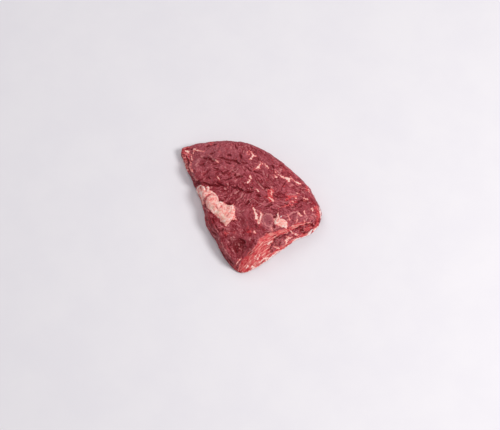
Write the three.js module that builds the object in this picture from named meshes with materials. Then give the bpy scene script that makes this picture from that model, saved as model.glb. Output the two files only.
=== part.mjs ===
// A trimmed piece of raw beef flank, lying on its flat underside.
// Sizes are in millimetres: x runs to the right, y away from the viewer and z up.
// The slab has a rounded far edge, a knife-cut near face with a hollow between two muscle layers,
// low walls on the left, and a top with folds, pads of fat and a coarse grain.
import * as THREE from "three";
import { mergeVertices } from "three/addons/utils/BufferGeometryUtils.js";
import { ImprovedNoise } from "three/addons/math/ImprovedNoise.js";

// Driving dimensions
const EDGE = 2.15; // side of a triangle on the top and the walls
const UNDER_EDGE = 7; // side of a triangle on the flat underside
const WALL_ROWS = 12; // rows of triangles from the underside up to the shoulder
const NORMAL_REACH = 7; // how far along the outline the wall's direction is averaged
const SHOULDER_LOOK = 7; // how far inside the outline the wall reads its height
const FLAT_FADE = [0.4, 4]; // heights over which relief fades in above the flat underside
const FULL_RELIEF = 17; // thickness from which the relief has its full height
const CENTRE = new THREE.Vector2(2, 0); // middle of the rings of triangles

// Sections of the wall, from the edge of the flat underside up to the shoulder of the top.
// Each point is [distance in from the outline, height], both as shares of the thickness there.
const SECTIONS = {
  rounded: [
    [0.26, 0], [0.1, 0.06], [0.02, 0.2], [0, 0.36], [0.02, 0.54],
    [0.08, 0.72], [0.17, 0.87], [0.28, 0.96], [0.42, 1],
  ],
  upright: [
    [0.16, 0], [0.04, 0.05], [0, 0.16], [0.03, 0.32], [0.05, 0.5],
    [0.07, 0.68], [0.11, 0.84], [0.19, 0.96], [0.32, 1],
  ],
  layered: [
    [0.2, 0], [0.04, 0.06], [0, 0.2], [0.06, 0.36], [0.16, 0.5],
    [0.07, 0.62], [0.1, 0.8], [0.19, 0.94], [0.34, 1],
  ],
  sliced: [
    [0.14, 0], [0.03, 0.03], [0, 0.1], [0.06, 0.26], [0.14, 0.42],
    [0.22, 0.58], [0.31, 0.76], [0.4, 0.92], [0.52, 1],
  ],
  hollowed: [
    [0.14, 0], [0.03, 0.03], [0, 0.1], [0.1, 0.2], [0.27, 0.34],
    [0.27, 0.5], [0.17, 0.66], [0.24, 0.88], [0.4, 1],
  ],
};

// Stations round the widest outline, seen from above and going anticlockwise from the right end.
const STATIONS = [
  { at: [64.7, -10], section: "rounded" },
  { at: [63, -1], section: "rounded" },
  { at: [58.8, 9.2], section: "rounded" },
  { at: [53.2, 19.6], section: "rounded" },
  { at: [42, 32], section: "rounded" },
  { at: [30, 44], section: "rounded" },
  { at: [16.6, 55.8], section: "rounded" },
  { at: [0.2, 64.8], section: "rounded" },
  { at: [-15, 67.6], section: "rounded" },
  { at: [-31, 69.2], section: "rounded" },
  { at: [-46.5, 68.2], section: "rounded" },
  { at: [-57.8, 66], section: "upright" },
  { at: [-64.5, 63], section: "upright" },
  { at: [-66.2, 57], section: "layered" },
  { at: [-62.2, 44.5], section: "layered" },
  { at: [-57, 30], section: "layered" },
  { at: [-52, 18], section: "layered" },
  { at: [-47.6, 5], section: "upright" },
  { at: [-44.5, -8], section: "upright" },
  { at: [-41.9, -20.5], section: "upright" },
  { at: [-33.4, -34.2], section: "upright" },
  { at: [-28.5, -46.2], section: "upright" },
  { at: [-19.3, -60.3], section: "upright" },
  { at: [-9.8, -66.6], section: "sliced" },
  { at: [2, -62.6], section: "sliced" },
  { at: [16, -52.5], section: "sliced" },
  { at: [29.3, -42.4], section: "hollowed" },
  { at: [42.3, -32.6], section: "hollowed" },
  { at: [53.2, -27.8], section: "hollowed" },
  { at: [61.2, -19.6], section: "hollowed" },
];

// Spot heights of the top, in plan [x, y] and millimetres of thickness.
const SPOTS = [
  { at: [-63, 58], thick: 10 },
  { at: [-46, 60], thick: 15 },
  { at: [-20, 60], thick: 18 },
  { at: [5, 52], thick: 19 },
  { at: [30, 34], thick: 20 },
  { at: [50, 12], thick: 19 },
  { at: [58, -8], thick: 18 },
  { at: [52, -21], thick: 20 },
  { at: [30, -32], thick: 23 },
  { at: [9, -44], thick: 22 },
  { at: [-10, -58], thick: 14 },
  { at: [-22, -48], thick: 14 },
  { at: [-35, -24], thick: 16 },
  { at: [-42, 2], thick: 18 },
  { at: [-50, 22], thick: 17 },
  { at: [-30, 34], thick: 22 },
  { at: [-5, 30], thick: 24 },
  { at: [22, 4], thick: 25 },
  { at: [4, -20], thick: 24 },
  { at: [-15, -34], thick: 19 },
];
const SPOT_REACH = 9; // softness of the surface between the spot heights

// Pads of fat standing on the top: overlapping round lobes of [x, y, radius].
const FAT_PADS = [
  { rise: 1.4, lobes: [[-46, 12, 4], [-43, 5, 5], [-37, 1, 6], [-30, -6, 6.5], [-24, -12, 8.5], [-22, -18, 6]] },
  { rise: 1, lobes: [[24.5, -18, 3], [27, -22, 4.5], [31, -25, 4]] },
  { rise: 0.7, lobes: [[5, -14, 2.5], [6, -19, 2.5]] },
];

// The round end of a small muscle that shows in the top, with a groove round it.
const MUSCLE_END = { at: [14.5, -20], radius: 6.5, rise: 1.1, groove: 0.8, grooveWidth: 1.8 };

// Folds of the top: furrows whose one side may drop lower than the other.
// Those that start outside the outline also notch the wall.
const FOLDS = [
  { from: [-58, 22], to: [2, 9], bend: -2, depth: 1.7, width: 2.4, drop: 1.8 },
  { from: [-47, 18], to: [-24, 15], bend: 0.6, depth: 1.3, width: 1.8, drop: 0 },
  { from: [-31, 46], to: [-10, 40], bend: 1.5, depth: 1.6, width: 2, drop: 0.3 },
  { from: [-46, 46], to: [-34, 43], bend: 0.5, depth: 0.9, width: 2, drop: 0 },
  { from: [22, 6], to: [34, 3], bend: -2, depth: 1.2, width: 2, drop: 0.4 },
  { from: [10, -6], to: [20, -6], bend: -1, depth: 1, width: 2, drop: 0.3 },
  { from: [-54, -7], to: [-39, -4], bend: 0, depth: 1.8, width: 2.4, drop: 0 },
  { from: [-16, -42], to: [-8, -52], bend: 1, depth: 2.2, width: 4, drop: 0 },
  { from: [-20, -48], to: [-14, -60], bend: 1, depth: 1.2, width: 2.4, drop: 0.4 },
];
const DROP_REACH = 9; // how far from a fold its lower side comes back up

// Coarse lumps of the muscle: size across and height of each layer of noise.
const LUMPS = [
  { size: 26, height: 1.1 },
  { size: 10, height: 0.55 },
  { size: 5.5, height: 0.35 },
];

const noise = new ImprovedNoise();
const { smoothstep, clamp } = THREE.MathUtils;

// The outline as a closed curve through the stations.
const outline = new THREE.CatmullRomCurve3(
  STATIONS.map(({ at }) => new THREE.Vector3(at[0], at[1], 0)),
  true,
  "centripetal",
);
outline.arcLengthDivisions = 600;
const perimeter = outline.getLength();

function outlinePoint(share) {
  const p = outline.getPointAt(((share % 1) + 1) % 1);
  return new THREE.Vector2(p.x, p.y);
}

function inwardDirection(share) {
  const reach = NORMAL_REACH / perimeter;
  const along = outlinePoint(share + reach).sub(outlinePoint(share - reach)).normalize();
  return new THREE.Vector2(-along.y, along.x);
}

// Thickness at a place in plan, by inverse-distance weights over the spot heights.
function thickness(place) {
  let sum = 0;
  let weights = 0;
  for (const { at, thick } of SPOTS) {
    const squared = (place.x - at[0]) ** 2 + (place.y - at[1]) ** 2;
    const weight = 1 / (squared + SPOT_REACH ** 2) ** 2;
    sum += weight * thick;
    weights += weight;
  }
  return sum / weights;
}

const sectionCurves = Object.fromEntries(
  Object.entries(SECTIONS).map(([name, points]) => [
    name,
    new THREE.SplineCurve(points.map(([inset, height]) => new THREE.Vector2(inset, height))),
  ]),
);

// Inset and height of the wall, as shares of the thickness, at a share of the outline and a row.
function sectionPoint(share, row) {
  const position = outline.getUtoTmapping(share) * STATIONS.length;
  const index = Math.floor(position) % STATIONS.length;
  const next = (index + 1) % STATIONS.length;
  const here = sectionCurves[STATIONS[index].section].getPoint(row);
  const there = sectionCurves[STATIONS[next].section].getPoint(row);
  return here.lerp(there, smoothstep(position - Math.floor(position), 0, 1));
}

function wallPoint(share, row) {
  const edge = outlinePoint(share);
  const inward = inwardDirection(share);
  const rough = thickness(edge.clone().addScaledVector(inward, SHOULDER_LOOK));
  const shoulder = edge.clone().addScaledVector(inward, rough * sectionPoint(share, 1).x);
  const thick = thickness(shoulder);
  const { x: inset, y: height } = sectionPoint(share, row);
  const place = edge.addScaledVector(inward, rough * inset);
  return new THREE.Vector3(place.x, place.y, Math.max(0, thick * height));
}

// A point of the underside or the top: the wall's end drawn in towards the centre.
function innerPoint(share, row, closeness) {
  const end = wallPoint(share, row);
  const place = CENTRE.clone().lerp(new THREE.Vector2(end.x, end.y), closeness);
  return new THREE.Vector3(place.x, place.y, row === 0 ? 0 : thickness(place));
}

function makeRing(count, phase, place) {
  const shares = Array.from({ length: count }, (_, i) => (i + phase) / count);
  return { shares, points: shares.map(place) };
}

// Rings of points from the middle of the underside, up the walls, to the middle of the top.
function makeRings() {
  const rings = [];
  const radius = perimeter / (2 * Math.PI);
  const around = Math.round(perimeter / EDGE);

  const underRows = Math.round(radius / UNDER_EDGE);
  for (let i = 1; i < underRows; i++) {
    const closeness = i / underRows;
    const count = Math.max(6, Math.round((perimeter * closeness) / UNDER_EDGE));
    rings.push(makeRing(count, 0, (share) => innerPoint(share, 0, closeness)));
  }
  for (let i = 0; i <= WALL_ROWS; i++) {
    rings.push(makeRing(around, (i % 2) / 2, (share) => wallPoint(share, i / WALL_ROWS)));
  }
  const topRows = Math.round(radius / EDGE);
  for (let i = topRows - 1; i > 0; i--) {
    const closeness = i / topRows;
    const count = Math.max(6, Math.round(around * closeness));
    rings.push(makeRing(count, 0.25 * (i % 2), (share) => innerPoint(share, 1, closeness)));
  }
  return rings;
}

// The share of the outline at a ring's i-th point, counting on past one round.
function shareAt({ shares }, i) {
  return shares[i % shares.length] + Math.floor(i / shares.length);
}

// Triangles between two rings, walking round both and always closing the shorter gap.
function stitch(lower, upper, lowerStart, upperStart, triangles) {
  const lowerCount = lower.shares.length;
  const upperCount = upper.shares.length;
  let i = 0;
  let j = 0;
  while (i < lowerCount || j < upperCount) {
    const a = lowerStart + (i % lowerCount);
    const b = upperStart + (j % upperCount);
    const lowerIsNext = i < lowerCount && shareAt(lower, i + 1) < shareAt(upper, j + 1);
    if (j >= upperCount || lowerIsNext) {
      i += 1;
      triangles.push(a, lowerStart + (i % lowerCount), b);
    } else {
      j += 1;
      triangles.push(a, upperStart + (j % upperCount), b);
    }
  }
}

// A closed surface through the rings, with a point in the middle of each end.
function closeRings(rings) {
  const points = [new THREE.Vector3(CENTRE.x, CENTRE.y, 0)];
  const triangles = [];
  const starts = [];
  for (const ring of rings) {
    starts.push(points.length);
    points.push(...ring.points);
  }
  const last = rings.length - 1;
  const firstCount = rings[0].points.length;
  const lastCount = rings[last].points.length;
  for (let i = 0; i < firstCount; i++) {
    triangles.push(0, 1 + ((i + 1) % firstCount), 1 + i);
  }
  for (let k = 0; k < last; k++) {
    stitch(rings[k], rings[k + 1], starts[k], starts[k + 1], triangles);
  }
  const top = points.length;
  points.push(new THREE.Vector3(CENTRE.x, CENTRE.y, thickness(CENTRE)));
  for (let i = 0; i < lastCount; i++) {
    triangles.push(top, starts[last] + i, starts[last] + ((i + 1) % lastCount));
  }
  const geometry = new THREE.BufferGeometry().setFromPoints(points);
  geometry.setIndex(triangles);
  return geometry;
}

function padRise(x, y) {
  let rise = 0;
  for (const pad of FAT_PADS) {
    let inside = -Infinity;
    for (const [lobeX, lobeY, radius] of pad.lobes) {
      inside = Math.max(inside, radius - Math.hypot(x - lobeX, y - lobeY));
    }
    rise = Math.max(rise, pad.rise * smoothstep(inside, -1, 2));
  }
  return rise;
}

function muscleEndRise(x, y) {
  const { at, radius, rise, groove, grooveWidth } = MUSCLE_END;
  const distance = Math.hypot(x - at[0], y - at[1]);
  const dome = rise * (1 - smoothstep(distance, 0.4 * radius, radius));
  return dome - groove * Math.exp(-(((distance - radius) / grooveWidth) ** 2));
}

// Depth of a fold below a place, from how far along it and how far to its side the place lies.
function foldDepth(x, y, { from, to, bend, depth, width, drop }) {
  const length = Math.hypot(to[0] - from[0], to[1] - from[1]);
  const ux = (to[0] - from[0]) / length;
  const uy = (to[1] - from[1]) / length;
  const along = ((x - from[0]) * ux + (y - from[1]) * uy) / length;
  const taper = smoothstep(along, -0.08, 0.15) * (1 - smoothstep(along, 0.85, 1.08));
  const bow = bend * Math.sin(Math.PI * clamp(along, 0, 1));
  const side = (y - from[1]) * ux - (x - from[0]) * uy - bow;
  const furrow = depth * Math.exp(-((side / width) ** 2));
  const lower = side < 0 ? drop * Math.exp(side / DROP_REACH) * smoothstep(-side, 0, width) : 0;
  return taper * (furrow + lower);
}

function lumps({ x, y, z }) {
  return LUMPS.reduce(
    (sum, { size, height }) => sum + height * noise.noise(x / size, y / size, z / size + size),
    0,
  );
}

// How far the surface stands out of, or into, the smooth slab at a point with this normal.
function relief(point, normal) {
  const { x, y } = point;
  const facingUp = smoothstep(normal.z, 0.3, 0.8);
  const facingOut = smoothstep(normal.z, -0.5, 0.3);
  const folds = FOLDS.reduce((sum, fold) => sum + foldDepth(x, y, fold), 0);
  const slender = Math.min(1, thickness(point) / FULL_RELIEF);
  return slender * (lumps(point) + facingUp * (padRise(x, y) + muscleEndRise(x, y)) - facingOut * folds);
}

function addRelief(geometry) {
  geometry.computeVertexNormals();
  const position = geometry.attributes.position;
  const point = new THREE.Vector3();
  const normal = new THREE.Vector3();
  for (let i = 0; i < position.count; i++) {
    point.fromBufferAttribute(position, i);
    normal.fromBufferAttribute(geometry.attributes.normal, i);
    const shown = smoothstep(point.z, ...FLAT_FADE);
    point.addScaledVector(normal, shown * relief(point, normal));
    position.setXYZ(i, point.x, point.y, Math.max(point.z, 0));
  }
}

// Sets the middle of the underside at the origin.
function centreOnUnderside(geometry) {
  geometry.computeBoundingBox();
  const { min, max } = geometry.boundingBox;
  geometry.translate(-(min.x + max.x) / 2, -(min.y + max.y) / 2, -min.z);
}

const geometry = closeRings(makeRings());
addRelief(geometry);
centreOnUnderside(geometry);
const merged = mergeVertices(geometry);
merged.computeVertexNormals();

const meat = new THREE.MeshStandardMaterial({ color: 0x9c4a50, roughness: 0.42, metalness: 0 });
const flank = new THREE.Mesh(merged, meat);
flank.name = "beef_flank";

const piece = new THREE.Group();
piece.add(flank);

export default piece;
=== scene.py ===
"""Looks of a trimmed piece of raw beef flank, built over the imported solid.

The solid's mesh is subdivided, and fields worked out at its points give the fine relief and steer the material.
Lengths are in millimetres until the mesh is made, which is in metres as the frame is.
"""

import itertools
import math
from types import SimpleNamespace

import bpy
import numpy as np
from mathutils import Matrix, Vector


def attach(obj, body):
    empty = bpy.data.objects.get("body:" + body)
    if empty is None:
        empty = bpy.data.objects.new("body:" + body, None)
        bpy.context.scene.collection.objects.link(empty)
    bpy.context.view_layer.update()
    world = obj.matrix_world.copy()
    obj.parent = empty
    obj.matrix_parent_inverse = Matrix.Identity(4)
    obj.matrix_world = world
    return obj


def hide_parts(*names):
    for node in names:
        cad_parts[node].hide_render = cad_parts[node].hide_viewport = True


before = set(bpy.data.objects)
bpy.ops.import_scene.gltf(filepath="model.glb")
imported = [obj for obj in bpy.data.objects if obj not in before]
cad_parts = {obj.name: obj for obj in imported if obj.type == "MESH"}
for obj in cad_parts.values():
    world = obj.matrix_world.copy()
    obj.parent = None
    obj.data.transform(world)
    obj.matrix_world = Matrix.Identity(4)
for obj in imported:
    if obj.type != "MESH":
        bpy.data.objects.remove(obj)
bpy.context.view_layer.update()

MM = 0.001
PIECE = "beef_flank"

# The view: a long lens that looks down on the meat.
VIEW_ELEVATION = math.radians(62)
VIEW_DISTANCE = 1391.2
VIEW_AIM = np.array([-1.3, -6.9, 0.0])
LENS = 106.6
SENSOR = 36
READ_HEIGHT = 20.0  # height of the level plane on which the places of the drawn features are given

SUBDIVISIONS = 2
FLAT_FADE = (0.3, 2.5)  # heights over which the relief fades in above the flat underside

# Direction of the muscle's grain: ((x, y), degrees from +X).
GRAIN = [
    ((-55, 45), 38), ((-40, 40), 34), ((-38, 25), 30), ((-30, 55), 50), ((-10, 50), -70), ((8, 45), -58),
    ((20, 36), -52), ((30, 24), -40), ((45, 12), -42), ((56, -5), -65), ((40, -4), -20), ((30, 6), -12),
    ((12, 12), -48), ((-2, 22), -60), ((-18, 25), 25), ((-15, 8), 70), ((-28, 10), -12), ((-4, -4), 60),
    ((14, -4), 20), ((28, -12), -30), ((0, -25), -65), ((-10, -32), -50), ((-28, -32), -55), ((-38, -24), -70),
    ((-18, -55), -58), ((-22, -48), -60), ((8, -34), -40), ((45, -20), 25), ((-6, -68), 55), ((2, -62), 53),
    ((8, -66), 48), ((8, -54), 53), ((12, -60), 50), ((12, -46), 50), ((16, -51), 56), ((20, -40), 32),
    ((28, -36), 20), ((38, -31), 32), ((48, -27), 8), ((26, -52), 45), ((40, -40), 35), ((54, -34), 35),
]
GRAIN_REACH = 9.0

# Patches, as outlines [(x, y), ...].
BIG_FAT = [
    (-51.4, 9.6), (-50.3, 12.3), (-48.2, 14), (-46, 13.8), (-43.9, 12), (-42.8, 9.3), (-42, 9.5), (-42.1, 11.6),
    (-40.8, 12.8), (-39.1, 11.7), (-39.3, 8.9), (-36.8, 7.8), (-33.7, 5.6), (-31.3, 1.6), (-30, -3.6), (-26.8, -3.7),
    (-24.5, -5.2), (-22.2, -6.6), (-19.3, -7), (-17, -6.2), (-16.1, -8.3), (-15.4, -12.3), (-15.6, -16.2),
    (-14.8, -20.1), (-13.4, -23), (-15.1, -21.8), (-17.4, -22.7), (-19.7, -24.7), (-22, -27.3), (-23.6, -30),
    (-24.3, -27.9), (-26.1, -26), (-28.4, -23.4), (-29.9, -20.3), (-31.3, -20.1), (-33.7, -17.5), (-36, -14.9),
    (-38.9, -12.3), (-40.4, -9.8), (-41.7, -9), (-42.7, -7), (-45.1, -6.6), (-48.2, -3.8), (-50.2, 0.2), (-51.4, 4.6),
]
RIGHT_FAT = [
    (24.8, -13.4), (23.9, -16.8), (23.6, -19.2), (22.6, -20.5), (20.6, -21.4), (20.7, -24.6), (21.6, -27.2),
    (24, -28.8), (26.4, -29.2), (28, -30.2), (29.6, -29.7), (30.6, -31.2), (31.7, -32.3), (33, -30.4), (33.6, -27.5),
    (32.9, -24.8), (31, -22.8), (28.5, -21.6), (26.4, -21.1), (25.3, -19.6), (25.2, -16.5),
]
SMALL_FAT = [
    (42.7, -15.2), (44.6, -15.4), (46.3, -16.8), (47, -18.6), (45.6, -19.5), (44.2, -17.9), (42.9, -16.7),
]
BAND = [
    (-12.5, -76), (-11, -69), (-8.2, -63.5), (-4.5, -59.5), (-1.5, -54.5), (2, -52), (5.2, -48), (6.6, -43),
    (10.2, -40.2), (14, -37), (18, -35.6), (22, -34.6), (26, -33), (30, -32.4), (33.5, -31.2), (36.5, -29.2),
    (40, -27), (44, -25.6), (48, -25.6), (52, -24.6), (56, -25.4), (57, -29), (52, -28), (46, -29.2), (41, -31),
    (37.5, -34), (34, -36.6), (29, -38.2), (25, -39.4), (21.5, -41.6), (20.4, -44.8), (18.4, -49), (16.7, -53),
    (17.2, -58), (19.8, -59), (12, -68), (5, -73), (-3, -77),
]
# A smooth line along the upper edge of the sliced face, and the direction in which its threads run.
SLICE_EDGE = [
    (-30, -92), (-20, -80), (-13, -71), (-6.5, -62), (-1, -54), (5, -47), (11, -41.5), (18, -37), (26, -34),
    (34, -30.5), (42, -27), (50, -25), (60, -24),
]
SLICE_RUN = np.array([0.5, 0.5])
HOLLOW = [
    (21, -42), (24, -40), (28, -39.4), (32, -38.4), (36, -36), (38, -38), (36, -40), (33.6, -42), (32, -44),
    (29.8, -46.5), (28.5, -50.5), (25, -53), (20.5, -56.6), (17, -57.2), (16.8, -52), (18.6, -49), (20, -45),
]
LIP = [
    (16.4, -58.4), (20.6, -55.4), (24.6, -52.8), (28, -49.8), (31.7, -46.8), (35.4, -44.2), (39.1, -41.8),
    (43, -39.4), (47.4, -37.8), (52, -36.4), (55.7, -34.4), (59.5, -31.4), (62.3, -27), (66, -28), (62, -38),
    (54, -44), (46, -46), (40, -52), (30, -60), (20, -68), (14, -66),
]
PIT = [
    (42, -31), (46, -29.8), (51, -28.6), (56, -27.4), (57.5, -29.5), (55, -33), (51.5, -37.5), (46, -38.6),
    (43.5, -35),
]

# Strokes: [(x, y, half-width), ...].
FAT_STREAKS = [
    [(0.8, -8.5, 0.35), (2.8, -12.3, 0.7), (3.8, -16, 1.2), (4.9, -19, 1.5), (4.3, -22.1, 0.9)],
    [(4.9, -20, 0.7), (6.4, -23.5, 1.1), (6.4, -26.8, 0.5)],
    [(7.4, -13.6, 0.4), (9.7, -16.9, 0.9), (8.2, -21.2, 1.2), (6.8, -26.5, 0.6)],
    [(-1.6, 51, 0.3), (0.1, 49.4, 0.6), (1.2, 47, 0.8), (1.8, 45.6, 1.2), (0.2, 44, 0.6), (-0.5, 42.7, 1)],
    [(1.8, 46, 0.6), (4.6, 45.4, 0.3)], [(-4.0, 50.2, 0.3), (-2.8, 47.1, 0.5)],
    [(2.6, 30.4, 0.35), (4.8, 32.2, 0.55), (7, 33.6, 1.2), (7.5, 35.4, 0.5), (8.6, 37, 0.3)],
    [(7, 34, 0.8), (8.4, 31.4, 0.4)], [(8.8, 39.4, 0.35), (10.3, 37.2, 0.5)],
    [(12.5, 36.8, 0.4), (14.5, 34.4, 0.75), (16.2, 32.6, 0.4)],
    [(22.7, 28, 0.3), (24.8, 25.7, 0.5), (27.6, 23.7, 0.6), (30.4, 22.2, 0.9), (33.2, 21.4, 1.2), (35.3, 20, 1.5),
     (34.6, 18, 0.8)],
    [(35, 20.5, 0.8), (36.6, 19.4, 0.3)], [(21.2, 24.9, 0.3), (22.4, 23.6, 0.6), (23.5, 22.3, 0.9)],
    [(36.4, 23.3, 0.3), (37.6, 21.4, 0.4), (38.8, 20.3, 0.3), (41, 18, 0.5), (43.2, 16.1, 1.2), (44.9, 15.5, 1)],
    [(-1.3, 24.6, 0.45), (-0.9, 22.6, 0.7), (0, 21.2, 0.4), (-1.7, 19.2, 0.7), (-2.4, 17.6, 0.8), (-4, 16.2, 0.35)],
    [(18.4, 8.6, 0.4), (18.8, 5.2, 0.75), (18.7, 3.2, 0.3)],
    [(16, 0.9, 0.3), (17.6, 0.1, 0.75), (19, -0.8, 0.75), (20.2, -3.2, 0.75)],
    [(4.2, 10.1, 0.35), (5.6, 8.6, 0.5), (6.9, 6.9, 0.35)], [(49.2, 0.6, 0.6), (50.6, -1.5, 1.2), (52.4, -0.6, 0.7)],
    [(42.4, 5.7, 0.35), (43.9, 3.9, 0.4)], [(38, -3.2, 0.2), (39.4, -4, 0.3)], [(41.4, 0, 0.3), (42.4, -0.6, 0.2)],
    [(52.6, 9.6, 0.3), (53.4, 7.8, 0.6), (54.1, 5.9, 0.35)],
    [(-62.5, 51.1, 0.8), (-60.7, 50.7, 1.3), (-59.1, 49.4, 0.9)],
    [(-54.1, 53.2, 0.7), (-51.6, 51.8, 0.5), (-49, 51.6, 0.55), (-46, 50.3, 0.25)],
    [(-54, 52.9, 0.6), (-54.6, 50.8, 0.5), (-54.9, 48.4, 0.35)],
    [(-56.6, 47, 0.4), (-56.7, 45.2, 0.45), (-56.4, 43, 0.2), (-55.4, 41, 0.5)],
    [(-34, 41.4, 0.5), (-32.8, 40.2, 0.35), (-31.3, 38.8, 0.4)],
    [(-31.8, 23.3, 0.5), (-31.1, 21.7, 0.45), (-29.8, 20.1, 0.2)], [(56.2, -10.8, 0.7), (56.6, -13, 0.8)],
    [(34, -18.1, 0.6), (34.3, -19.6, 0.4), (35.2, -21.6, 0.6), (35, -23.2, 0.25)],
    [(42.2, -21.4, 0.3), (42, -23.2, 0.8), (41.3, -25, 0.25)],
    [(48.7, -13.4, 0.4), (49.4, -15.6, 0.6), (49.2, -16.4, 0.3)], [(48.6, -23.2, 0.5), (49.3, -24.8, 0.6)],
    [(18.3, -31.4, 0.5), (19, -33, 0.6)], [(2.4, -34.6, 0.6), (2.9, -35.6, 0.7)],
    [(-13.8, -68.4, 0.6), (-11.6, -64.9, 0.5), (-8.8, -61.9, 0.4)],
    [(15.9, -47.1, 0.9), (17.6, -45.4, 0.8), (18.9, -44, 0.5)], [(3.9, -59.8, 0.8), (3.1, -62.2, 0.5)],
    [(7.3, -59.2, 0.65), (7.2, -60, 0.5)], [(-3.2, -70.2, 0.6), (-5.2, -72.6, 0.4)],
    [(0.4, -70.6, 0.9), (1.8, -71, 0.9)], [(10.4, -62.8, 0.4), (8.8, -64.6, 0.5), (7.4, -66.2, 0.4)],
    [(10.4, -61.8, 0.5), (12.8, -62.4, 0.8), (14.8, -61.8, 0.4)],
    [(20.4, -50.4, 0.4), (22.6, -51, 0.8), (25, -52.2, 0.9)],
    [(31.5, -43.9, 0.8), (33.8, -42, 0.8), (37.2, -40.9, 0.4)],
    [(34.9, -41.7, 0.4), (34.4, -40.4, 0.5), (33.2, -39.7, 0.3)], [(31.6, -46.4, 0.3), (32.4, -44.6, 0.5)],
    [(5.3, -63.3, 0.5), (5.9, -62.6, 0.6)], [(36, -34, 0.4), (37, -35.6, 0.7), (37.8, -36.6, 0.4)],
    [(39.6, -37.2, 0.6), (41.4, -38, 0.9), (42.8, -37.2, 0.5)],
]
RIM_FAT = [
    [(26, -55.2, 0.1), (31, -51.6, 0.2), (36.4, -47.8, 0.35), (39, -45.4, 0.4), (42, -43.2, 0.4), (46, -41.6, 0.4),
     (51, -40.1, 0.5), (54, -38, 0.7), (57.5, -35.8, 0.6), (60.8, -32.4, 0.4)],
    [(4, -72.6, 0.4), (10, -67.4, 0.4), (15, -63.6, 0.4), (19.8, -59.4, 0.5)],
    [(62.6, -8.6, 0.3), (63.8, -12, 0.5), (64.2, -16, 0.6), (63.8, -20.6, 0.4)],
    [(57, -33.4, 0.5), (59.4, -31.6, 0.7), (61.2, -29.8, 0.5)],
]
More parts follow.
